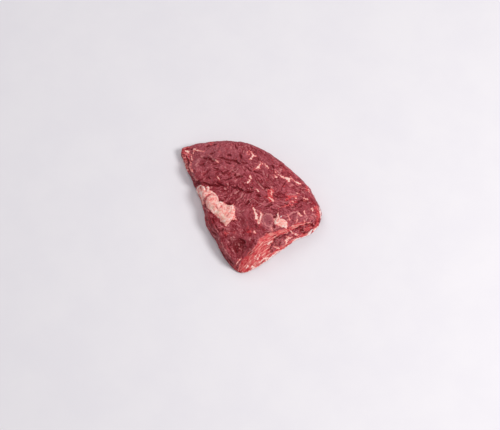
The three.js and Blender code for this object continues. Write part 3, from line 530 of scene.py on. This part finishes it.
def subdivide(points, triangles):
    """One step of Loop subdivision of a closed mesh of triangles."""
    sides = np.sort(triangles[:, [[0, 1], [1, 2], [2, 0]]].reshape(-1, 2), axis=1)
    edges, which = np.unique(sides, axis=0, return_inverse=True)
    which = which.reshape(-1)
    across = np.zeros((len(edges), 3))
    np.add.at(across, which, points[triangles[:, [2, 0, 1]].reshape(-1)])
    middles = 3 / 8 * points[edges].sum(1) + 1 / 8 * across
    near = np.zeros_like(points)
    np.add.at(near, edges[:, 0], points[edges[:, 1]])
    np.add.at(near, edges[:, 1], points[edges[:, 0]])
    count = np.bincount(edges.ravel(), minlength=len(points))[:, None]
    pull = 3 / (8 * count)
    moved = points * (1 - count * pull) + near * pull
    a, b, c = triangles.T
    ab, bc, ca = (len(points) + which.reshape(-1, 3)).T
    corners = np.stack([a, ab, ca, ab, b, bc, ca, bc, c, ab, bc, ca], 1)
    return np.concatenate([moved, middles]), corners.reshape(-1, 3)


def point_normals(points, triangles):
    a, b, c = (points[triangles[:, k]] for k in range(3))
    faces = np.cross(b - a, c - a)
    normals = np.zeros_like(points)
    for k in range(3):
        np.add.at(normals, triangles[:, k], faces)
    return normals / np.linalg.norm(normals, axis=1)[:, None]


def eye_place():
    back = np.array([0, -math.cos(VIEW_ELEVATION), math.sin(VIEW_ELEVATION)])
    return VIEW_AIM + VIEW_DISTANCE * back


# Fields over the surface

SHOWN = (0.02, 0.2)  # facing the view, 0 edge-on and 1 square, over which the drawn features fade in
BEADS_SHOWN = (-0.3, -0.1)
UNDER = (0.4, 0.8)  # facing down, over which the wall turns into the underside
HIDE = 3.0  # sinks a depth where the view doesn't see it
CHART_HIDE = 2.0  # sinks the dashes of one chart where another takes over

WALL_RADIUS = 62.0  # turns the angle round the piece into a length
WALL_BOX = ((-195, 0), (195, 20))
WALL_FAT_BOX = ((-195, 2), (195, 22))
WALL_FAT_DASHES = 26
WALL_FAT_SIZE = 1.6

DASH_SEED = 11
TOP_DASHES = (240, 200)  # how many dark ones and pale ones
WALL_DASHES = (110, 90)
UNDER_DASHES = (90, 130)
DASH_LENGTH = (1.6, 5.5)
DASH_HALF_WIDTH = (0.25, 0.6)
DASH_SWAY = 0.25

HEM_HEIGHT = 1.3
HEM_SIDE = (0.8, -0.6)  # direction of the side with the hem


def draw_dashes(draw, count, box, tilt, size=1.0):
    """Short strokes at random places in a box, each along the grain given by tilt(place)."""
    dashes = []
    for place in draw.uniform(*box, (count, 2)):
        angle = tilt(place[None])[0] + draw.normal(0, DASH_SWAY)
        half = size * draw.uniform(*DASH_LENGTH) / 2 * np.array([math.cos(angle), math.sin(angle)])
        width = size * draw.uniform(*DASH_HALF_WIDTH)
        ends = [place - half, place, place + half]
        dashes.append([(x, y, w) for (x, y), w in zip(ends, (0.3 * width, width, 0.3 * width))])
    return dashes


def level(at):
    return np.zeros(len(at))


def chart_depths(chart, draw, counts, box, tilt):
    """Depths inside the dark and the pale random dashes of a chart."""
    return [strokes_depth(chart, draw_dashes(draw, count, box, tilt)) for count in counts]


def hem_depth(points, normals):
    """How far inside the thin pale hem along the foot of the near right side a place lies."""
    off = np.abs(points[:, 2] - HEM_HEIGHT - 0.5 * noise(points / 8.0 + 3.9))
    beside = smooth(normals[:, :2] @ HEM_SIDE, 0.2, 0.6) * smooth(-points[:, 1], -2, 8)
    return 0.3 + 0.4 * noise(points / 4.1) - off - HIDE * (1 - beside)


def make_fields(points, normals):
    """Every field that the relief and the material use, at each point."""
    eye = eye_place()
    sight = points - eye
    share = (READ_HEIGHT - eye[2]) / sight[:, 2]
    seen_at = (eye + share[:, None] * sight)[:, :2]
    facing = -(normals * sight).sum(1) / np.linalg.norm(sight, axis=1)
    shown = smooth(facing, *SHOWN)
    under = smooth(-normals[:, 2], *UNDER)
    aside = np.clip(1 - shown - under, 0, 1)

    swirled = warp(points, 9, 1.6, 3.1)
    ragged = seen_at + (warp(points, 2.4, 0.55, 8.8) + warp(points, 0.95, 0.28, 5.5) - 2 * points)[:, :2]
    gentle = seen_at + (warp(points, 6, 0.7, 2.7) - points)[:, :2]
    round_way = np.exp(2j * np.arctan2(normals[:, 0], -normals[:, 1]))
    turned = (1 - aside) * np.exp(2j * grain_angle(seen_at)) + aside * round_way
    angle = np.angle(turned) / 2 + 0.4 * noise(points / 6.5 + 1.3)

    def stroked(strokes):
        return strokes_depth(ragged, strokes) - HIDE * (1 - shown)

    def patched(outline):
        return patch_depth(ragged, outline) - HIDE * (1 - shown)

    def covered(outline, edge=0.8):
        """Share of a place that a patch covers, with a soft edge of that half-width."""
        return smooth(patch_depth(ragged, outline), -edge, edge) * shown

    f = SimpleNamespace(shown=shown, angle=angle, hem=hem_depth(points, normals))
    f.fine = grain_noise(swirled, angle, 0.75, 3.6, 5.3)
    f.bundles = grain_noise(swirled, angle, 2.3, 8.5, 9.1)
    f.mottle = noise(points / 5.5 + 2.2)
    f.patchy = noise(points / 17 + 4.4)
    f.rag = (1 - np.abs(normals[:, 2])) * (0.5 * noise(points / 4.2 + 6.1) + 0.3 * noise(points / 1.9 + 8.3))
    f.slice_along, f.slice_depth = line_place(gentle, SLICE_EDGE)
    f.slice_along += seen_at @ SLICE_RUN

    f.band, f.hollow, f.pit, f.lip = covered(BAND), covered(HOLLOW), covered(PIT), covered(LIP, 0.6)
    f.calm = spots_value(ragged, CALM) * shown
    f.aged = spots_value(ragged, FAT_AGED) * shown
    # fresh red, with painted light on the far-left tip
    f.fresh = spots_value(seen_at, FRESH_RED_AND_PAINTED_LIGHT) * shown
    f.grey = spots_value(seen_at, GREY_AND_SHEEN) * shown
    f.shade = spots_value(seen_at, SHADED) * shown

    draw = np.random.default_rng(DASH_SEED)
    box = (points[:, :2].min(0), points[:, :2].max(0))
    sway = swirled[:, :2] - points[:, :2]
    wall_at = np.stack([np.arctan2(points[:, 1], points[:, 0]) * WALL_RADIUS, points[:, 2]], 1) + sway
    charts = [
        chart_depths(seen_at + sway, draw, TOP_DASHES, box, grain_angle),
        chart_depths(wall_at, draw, WALL_DASHES, WALL_BOX, level),
        chart_depths(swirled[:, :2], draw, UNDER_DASHES, box, grain_angle),
    ]
    out = CHART_HIDE * (1 - np.array([shown, aside, under]))
    f.dark_dash, f.pale_dash = (np.max(depths - out, axis=0) - f.calm for depths in zip(*charts))

    big = patched(BIG_FAT)
    f.fat = np.max([big, patched(RIGHT_FAT), patched(SMALL_FAT)], axis=0)
    bead = strokes_depth(ragged, BEADS) - HIDE * (1 - smooth(facing, *BEADS_SHOWN))
    f.bead = smooth(bead, -0.9, 0.7)
    wall_fat = strokes_depth(wall_at, draw_dashes(draw, WALL_FAT_DASHES, WALL_FAT_BOX, level, WALL_FAT_SIZE))
    wall_fat -= CHART_HIDE * (1 - aside)
    f.streak = np.max([stroked(FAT_STREAKS + RIM_FAT), wall_fat, np.minimum(bead, -0.05)], axis=0)
    f.crease = np.minimum(stroked(FAT_CREASES), big + 0.8)
    f.gleam = stroked(FAT_GLEAMS)
    edge_on = HIDE * (1 - smooth(facing, -0.03, 0.05)) + 0.2 * (1 - smooth(facing, 0, 0.25))
    f.glint = strokes_depth(ragged, GLINTS) - edge_on
    f.film = stroked(MEMBRANES + tapered(STRANDS)) + 0.1
    f.furrow = stroked(FURROWS + tapered(CUTS))
    f.red = smooth(strokes_depth(ragged, RED_STREAKS), -1, 0.6) * shown
    return f


# Steps of the relief: (field, height in millimetres, the two values of the field over which it rises).
STEPS = [
    ("fat", 0.6, -0.5, 1.4), ("fat", 0.45, 0, 4), ("streak", 0.15, -0.4, 0.5), ("gleam", 0.25, -0.6, 0.5),
    ("crease", -0.55, -0.7, 0.4), ("crease", -0.45, -2.6, 0.2), ("pale_dash", 0.1, -0.4, 0.4),
]
MUSCLE_STEPS = [("furrow", -1.3, -0.8, 0.8), ("dark_dash", -0.4, -0.4, 0.4)]


def relief(f, height):
    """How far each point stands out of the smooth surface, in millimetres."""
    def steps(table):
        return sum(amount * smooth(getattr(f, name), low, high) for name, amount, low, high in table)

    fat = smooth(f.fat, -0.5, 1.4)
    threads = (0.14 + 0.16 * f.band) * f.fine + (0.3 + 0.12 * f.band) * f.bundles + 0.16 * f.mottle
    rise = (1 - 0.75 * fat) * (threads + steps(MUSCLE_STEPS))
    rise += fat * (0.24 * f.mottle + 0.1 * f.fine) + steps(STEPS)
    rise += 0.9 * f.bead - 0.2 * f.hollow - 0.5 * f.pit + f.rag
    return rise * smooth(height, *FLAT_FADE)


def surface_values(f):
    """What the material reads at each point, by name."""
    as_made = ("fat", "streak", "crease", "gleam", "glint", "aged", "slice_along", "slice_depth", "hem", "calm")
    values = {name: getattr(f, name) for name in as_made}
    sliced = f.band + f.lip
    values["band"] = np.clip(sliced, 0, 1)
    values["red"] = np.clip(
        sliced + 0.55 * f.red + 0.7 * f.bead + f.fresh + 0.6 * f.pit + 0.25 * f.hollow, 0, 1
    )
    values["grey"] = np.clip(f.grey + 0.7 * f.hollow - sliced, 0, 1)
    values["film"] = np.maximum(f.film, f.pale_dash - 0.2)
    # painted shade in the furrows, cuts and dark dashes
    values["furrow"] = np.maximum(f.furrow + 0.1, f.dark_dash - 0.1)
    # painted shade of the shaded spots and of the pit
    values["shade"] = np.clip(0.15 * f.pit + 0.6 * f.shade * (1 + 0.5 * f.bundles), 0, 1)
    values["patchy"] = 0.5 + 0.4 * f.patchy
    hidden_patches = (0.12 + 0.2 * (1 - f.shown)) * f.patchy
    values["grain"] = 0.2 * f.fine + 0.3 * f.bundles + 0.25 * f.mottle + hidden_patches
    for k, weight in enumerate(grain_weights(f.angle).T):
        values[f"way_{k}"] = weight
    return values


def make_meat(node, material):
    points, triangles = read_mesh(node)
    for _ in range(SUBDIVISIONS):
        points, triangles = subdivide(points, triangles)
    nearness = np.exp(-np.sum(((points - TIP["at"]) / TIP["reach"]) ** 2, axis=1))
    points += nearness[:, None] * TIP["pull"]
    normals = point_normals(points, triangles)
    fields = make_fields(points, normals)
    points += normals * relief(fields, points[:, 2])[:, None]
    points[:, 2] = np.maximum(points[:, 2], 0)

    mesh = bpy.data.meshes.new("beef_flank_skin")
    mesh.vertices.add(len(points))
    mesh.vertices.foreach_set("co", (points * MM).ravel())
    mesh.loops.add(triangles.size)
    mesh.loops.foreach_set("vertex_index", triangles.ravel())
    mesh.polygons.add(len(triangles))
    mesh.polygons.foreach_set("loop_start", np.arange(0, triangles.size, 3))
    mesh.polygons.foreach_set("use_smooth", np.ones(len(triangles), bool))
    mesh.update()
    mesh.validate()
    for name, values in surface_values(fields).items():
        mesh.attributes.new(name, "FLOAT", "POINT").data.foreach_set("value", values.astype(np.float32))
    mesh.materials.append(material)
    meat = bpy.data.objects.new("flank_meat", mesh)
    bpy.context.scene.collection.objects.link(meat)
    return meat


# Materials

def linear(red, green, blue):
    """Linear colour of an sRGB colour given as 0 to 255."""
    shares = [value / 255 for value in (red, green, blue)]
    return (*[s / 12.92 if s <= 0.04045 else ((s + 0.055) / 1.055) ** 2.4 for s in shares], 1.0)


MUSCLE_DULL = linear(118, 4, 24)
MUSCLE_LIGHT = linear(184, 88, 98)
MUSCLE_FRESH = linear(188, 32, 46)
MUSCLE_FRESH_LIGHT = linear(228, 102, 101)
MUSCLE_GREY_AND_SHEEN = linear(160, 86, 95)
# Dark red of the dark strands, and of the painted shade in furrows, cuts and shaded spots.
DARK_RED_AND_SHADE = linear(108, 2, 14)
# Pale pink of membranes and strands, also used for dots of painted highlights.
MEMBRANE_AND_GLINT_PINK = linear(212, 130, 130)
THREAD = linear(246, 188, 174)
# Near-white of the pale hem and of the painted highlights of the glints.
HEM_AND_GLINT_WHITE = linear(252, 230, 226)
FAT_CREAM = linear(255, 200, 187)
FAT_PINK = linear(246, 142, 134)
FAT_PALE = linear(255, 214, 202)
FAT_RED = linear(210, 74, 78)
FAT_FOLD = linear(168, 28, 44)
FAT_WHITE = linear(255, 228, 219)
FAT_AGED_TONE = linear(218, 190, 168)
FLOOR_PALE = linear(232, 228, 231)
FLOOR_COOL = linear(229, 225, 229)
WORLD_TONE = linear(240, 240, 244)


class Shader:
    """A material's nodes, made by short calls."""

    def __init__(self, name):
        self.material = bpy.data.materials.new(name)
        self.material.use_nodes = True
        self.tree = self.material.node_tree
        self.surface = self.tree.nodes["Principled BSDF"]

    def node(self, kind, settings=None, **values):
        """A new node with these values and input settings."""
        made = self.tree.nodes.new(kind)
        for name, value in values.items():
            setattr(made, name, value)
        for name, value in (settings or {}).items():
            self.feed(value, made.inputs[name])
        return made

    def feed(self, value, socket):
        if isinstance(value, bpy.types.NodeSocket):
            self.tree.links.new(value, socket)
        else:
            socket.default_value = value

    def set(self, **values):
        """Values of the surface's own sockets, named with _ for each space."""
        for name, value in values.items():
            self.feed(value, self.surface.inputs[name.replace("_", " ")])

    def field(self, name):
        return self.node("ShaderNodeAttribute", attribute_name=name).outputs["Fac"]

    def place(self):
        return self.node("ShaderNodeTexCoord").outputs["Object"]

    def texture(self, place, scale, detail, **settings):
        """Noise, 0 to 1."""
        given = {"Vector": place, "Scale": scale, "Detail": detail, **settings}
        return self.node("ShaderNodeTexNoise", given).outputs["Fac"]

    def speckle(self, size, detail=3.0, roughness=0.6):
        """Noise with lumps of that size in millimetres, 0 to 1."""
        return self.texture(self.place(), 1 / (size * MM), detail, Roughness=roughness)

    def fibres(self, across, along):
        """Noise about zero, drawn out along the grain; its threads have that width and length in millimetres."""
        parts = []
        for k, turn in enumerate(TURN_ANGLES):
            turned = self.node("ShaderNodeMapping", {
                "Vector": self.place(),
                "Location": (0, 9 * k * MM, 0),
                "Rotation": (0, 0, turn),
                "Scale": (along * MM, across * MM, across * MM),
            }, vector_type="TEXTURE")
            texture = self.texture(turned.outputs["Vector"], 1.0, 1.5)
            parts.append(self.times(self.less(texture, 0.5), self.field(f"way_{k}")))
        return self.add(*parts)

    def threads(self, across, along):
        """Noise about zero in long threads that follow the upper edge of the sliced face."""
        way = self.node("ShaderNodeCombineXYZ", {
            "X": self.math("DIVIDE", self.field("slice_along"), along),
            "Y": self.math("DIVIDE", self.field("slice_depth"), across),
        })
        return self.less(self.texture(way.outputs["Vector"], 1.0, 2.0), 0.5)

    def math(self, operation, *values, clamp=False):
        made = self.node("ShaderNodeMath", operation=operation, use_clamp=clamp)
        for value, socket in zip(values, made.inputs):
            self.feed(value, socket)
        return made.outputs[0]

    def add(self, total, *others):
        for other in others:
            total = self.math("ADD", total, other)
        return total

    def less(self, first, second):
        return self.math("SUBTRACT", first, second)

    def times(self, first, second, clamp=False):
        return self.math("MULTIPLY", first, second, clamp=clamp)

    def rough(self, value, speckle, amount, lumps=None, lump_amount=0.0):
        """A value made uneven by noise about zero."""
        uneven = self.add(value, self.times(speckle, amount))
        return uneven if lumps is None else self.add(uneven, self.times(lumps, lump_amount))

    def ramp(self, value, low, high, start=0.0, end=1.0):
        made = self.node("ShaderNodeMapRange", interpolation_type="SMOOTHSTEP")
        for socket, given in zip(made.inputs, (value, low, high, start, end)):
            self.feed(given, socket)
        return made.outputs["Result"]

    def mix(self, share, first, second):
        made = self.node("ShaderNodeMix", {"Factor": share}, data_type="RGBA")
        colours = [socket for socket in made.inputs if socket.type == "RGBA"]
        self.feed(first, colours[0])
        self.feed(second, colours[1])
        return next(socket for socket in made.outputs if socket.type == "RGBA")

    def bump(self, height, distance, strength, **before):
        settings = {"Strength": strength, "Distance": distance * MM, "Height": height, **before}
        return self.node("ShaderNodeBump", settings).outputs["Normal"]


def muscle_colour(s, strand, threads, speckle, lumps):
    """Colour of the muscle: dull or fresh red, with pale and dark strands, furrows and thin membranes; painted sheen,
    painted shade in furrows and spots, and painted glint dots.
    """
    sliced = s.field("band")
    contrast = s.ramp(s.speckle(7, detail=2.0), 0.4, 0.62, 0.3, 1.2)
    contrast = s.times(contrast, s.less(1.0, s.times(s.field("calm"), 0.7)))
    tone = s.add(s.times(strand, 1.7), s.times(speckle, 2.0))
    tone = s.add(s.times(tone, contrast), s.field("grain"), 0.5)

    muscle = s.mix(s.ramp(tone, -0.05, 1.1), MUSCLE_DULL, MUSCLE_LIGHT)
    # grey tone, with a painted sheen
    grey = s.times(s.field("grey"), s.ramp(s.field("patchy"), 0.1, 0.8, 0.55, 1.0))
    muscle = s.mix(s.times(grey, 0.55), muscle, MUSCLE_GREY_AND_SHEEN)
    sparks = s.times(s.ramp(s.speckle(1.5), 0.6, 0.7), 0.7)
    muscle = s.mix(sparks, muscle, MUSCLE_FRESH)
    lit = s.less(tone, s.times(s.less(1.0, sliced), 0.06))
    fresh = s.mix(s.ramp(lit, 0.02, 0.95), MUSCLE_FRESH, MUSCLE_FRESH_LIGHT)
    red = s.rough(s.field("red"), speckle, 1.8, lumps, 1.6)
    muscle = s.mix(s.ramp(red, 0.2, 0.75), muscle, fresh)

    mingled = s.rough(strand, speckle, 0.7)
    pale = s.ramp(mingled, 0.12, 0.24, 0.0, 0.75)
    muscle = s.mix(s.times(pale, contrast, clamp=True), muscle, MEMBRANE_AND_GLINT_PINK)
    bright = s.times(s.ramp(threads, 0.03, 0.15), sliced)
    muscle = s.mix(s.times(bright, 0.85), muscle, THREAD)
    # Painted shade: furrows, cuts and the shaded spots darkened towards dark red.
    furrow_shade = s.ramp(s.rough(s.field("furrow"), speckle, 0.7), -0.5, 0.15)
    dark = s.math("ADD", s.field("shade"), furrow_shade, clamp=True)
    muscle = s.mix(s.times(dark, 0.86), muscle, DARK_RED_AND_SHADE)
    low = s.ramp(mingled, -0.13, -0.24, 0.0, 0.75)
    muscle = s.mix(s.times(low, contrast, clamp=True), muscle, DARK_RED_AND_SHADE)
    film = s.ramp(s.rough(s.field("film"), speckle, 2.0), -0.4, 0.4, 0.0, 0.75)
    muscle = s.mix(film, muscle, MEMBRANE_AND_GLINT_PINK)
    # Painted highlights: tiny pale dots of wet glints.
    glint_dots = s.ramp(s.speckle(1.1, detail=1.0), 0.66, 0.74, 0.0, 0.6)
    return s.mix(glint_dots, muscle, MEMBRANE_AND_GLINT_PINK)


def fat_colour(s, speckle):
    """Colour of the big pieces of fat: pink and cream, with red veins, white grit, painted highlights on the rims and
    creases darkened with painted shade.
    """
    fat = s.mix(s.ramp(s.rough(s.speckle(3.2), speckle, 0.6), 0.36, 0.64), FAT_PINK, FAT_CREAM)
    fat = s.mix(s.times(s.field("aged"), 0.75), fat, FAT_AGED_TONE)
    grit = s.speckle(1.4, roughness=0.7)
    fat = s.mix(s.ramp(grit, 0.55, 0.72, 0.0, 0.6), fat, FAT_RED)
    fat = s.mix(s.ramp(grit, 0.45, 0.3, 0.0, 0.7), fat, FAT_WHITE)
    veins = s.speckle(2.4, detail=2.0)
    fat = s.mix(s.ramp(veins, 0.56, 0.68, 0.0, 0.5), fat, FAT_RED)
    fat = s.mix(s.ramp(veins, 0.46, 0.34, 0.0, 0.6), fat, FAT_WHITE)
    # painted highlights on the rims of the lobes
    gleam = s.ramp(s.rough(s.field("gleam"), speckle, 1.0), -0.4, 0.35, 0.0, 0.85)
    fat = s.mix(gleam, fat, FAT_WHITE)
    # painted shade in the fat's creases
    fold = s.ramp(s.rough(s.field("crease"), speckle, 0.8), -0.55, 0.35, 0.0, 0.85)
    return s.mix(fold, fat, FAT_FOLD)


def meat_material():
    s = Shader("raw_beef")
    speckle = s.less(s.speckle(1.3, roughness=0.7), 0.5)
    lumps = s.less(s.speckle(2.4, detail=2.0), 0.5)
    fibres = s.fibres(0.95, 3.0)
    threads = s.threads(0.8, 12.0)
    sliced = s.field("band")
    strand = s.add(fibres, s.times(sliced, s.less(threads, fibres)))

    colour = muscle_colour(s, strand, threads, speckle, lumps)
    edge = s.rough(s.field("fat"), speckle, 2.2)
    streak = s.rough(s.field("streak"), speckle, 3.2, lumps, 2.6)
    halo = s.ramp(s.math("MAXIMUM", edge, streak), -1.0, 0.0, 0.0, 0.5)
    colour = s.mix(halo, colour, FAT_RED)
    streak_fat = s.mix(s.ramp(s.add(streak, s.times(sliced, 0.5)), 0.0, 0.8), FAT_PINK, FAT_PALE)
    colour = s.mix(s.ramp(streak, -0.25, 0.25, 0.0, 0.95), colour, streak_fat)
    fat_share = s.ramp(edge, -0.3, 0.2)
    colour = s.mix(fat_share, colour, fat_colour(s, speckle))
    hem = s.ramp(s.rough(s.field("hem"), speckle, 2.6), -0.3, 0.3, 0.0, 0.85)
    # painted highlights of the glints, together with the pale hem
    glint = s.ramp(s.rough(s.field("glint"), speckle, 1.6, lumps, 1.4), -0.35, 0.3, 0.0, 0.92)
    colour = s.mix(s.math("MAXIMUM", hem, glint), colour, HEM_AND_GLINT_WHITE)

    wet = s.ramp(s.speckle(3.2), 0.3, 0.7, 0.38, 0.54)
    fine = s.bump(s.add(s.times(strand, 1.2), speckle), 0.6, 0.9)
    s.set(
        Base_Color=colour,
        Roughness=s.less(wet, s.times(fat_share, 0.04)),
        Normal=s.bump(s.speckle(1.9, detail=2.0), 0.4, 0.6, Normal=fine),
        Subsurface_Weight=0.1,
        Subsurface_Radius=(1.0, 0.25, 0.18),
        Subsurface_Scale=1.2 * MM,
        Specular_IOR_Level=0.16,
        Coat_Weight=0.02,
        Coat_Roughness=0.2,
    )
    return s.material


def floor_material():
    s = Shader("pale_floor")
    s.set(Base_Color=s.mix(s.ramp(s.speckle(60), 0.3, 0.7), FLOOR_PALE, FLOOR_COOL), Roughness=0.85)
    return s.material


# Stage, lights and camera, in metres

FLOOR_HALF = 4.0
LIGHTS = {  # place, width and watts
    "key": ((0.95, -0.35, 1.15), 0.55, 15.5),
    "fill": ((-0.5, 1.0, 1.5), 1.2, 7.5),
}
WORLD_STRENGTH = 0.47


def make_floor():
    mesh = bpy.data.meshes.new("floor")
    corners = [(x * FLOOR_HALF, y * FLOOR_HALF, 0) for x, y in ((-1, -1), (1, -1), (1, 1), (-1, 1))]
    mesh.from_pydata(corners, [], [(0, 1, 2, 3)])
    mesh.materials.append(floor_material())
    floor = bpy.data.objects.new("floor", mesh)
    bpy.context.scene.collection.objects.link(floor)


def aim_at(thing, target):
    direction = np.array(target) - np.array(thing.location)
    thing.rotation_euler = Vector(direction).to_track_quat("-Z", "Y").to_euler()


def make_light(name, place, width, watts):
    light = bpy.data.lights.new(name, "AREA")
    light.shape = "DISK"
    light.size = width
    light.energy = watts
    lamp = bpy.data.objects.new(name, light)
    lamp.location = place
    bpy.context.scene.collection.objects.link(lamp)
    aim_at(lamp, (0, 0, 0))


def make_lights():
    for name, values in LIGHTS.items():
        make_light(name, *values)
    world = bpy.data.worlds.new("studio")
    world.use_nodes = True
    background = world.node_tree.nodes["Background"]
    background.inputs["Color"].default_value = WORLD_TONE
    background.inputs["Strength"].default_value = WORLD_STRENGTH
    bpy.context.scene.world = world


def make_camera():
    camera = bpy.data.objects.new("camera", bpy.data.cameras.new("camera"))
    camera.data.lens = LENS
    camera.data.sensor_width = SENSOR
    camera.location = eye_place() * MM
    bpy.context.scene.collection.objects.link(camera)
    aim_at(camera, VIEW_AIM * MM)
    bpy.context.scene.camera = camera


def corners(box):
    return [[float(value) for value in corner] for corner in box]


make_camera()
make_lights()
make_floor()
meat = make_meat(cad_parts[PIECE], meat_material())
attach(meat, "root")
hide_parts(PIECE)

bpy.context.scene.view_settings.view_transform = "Standard"
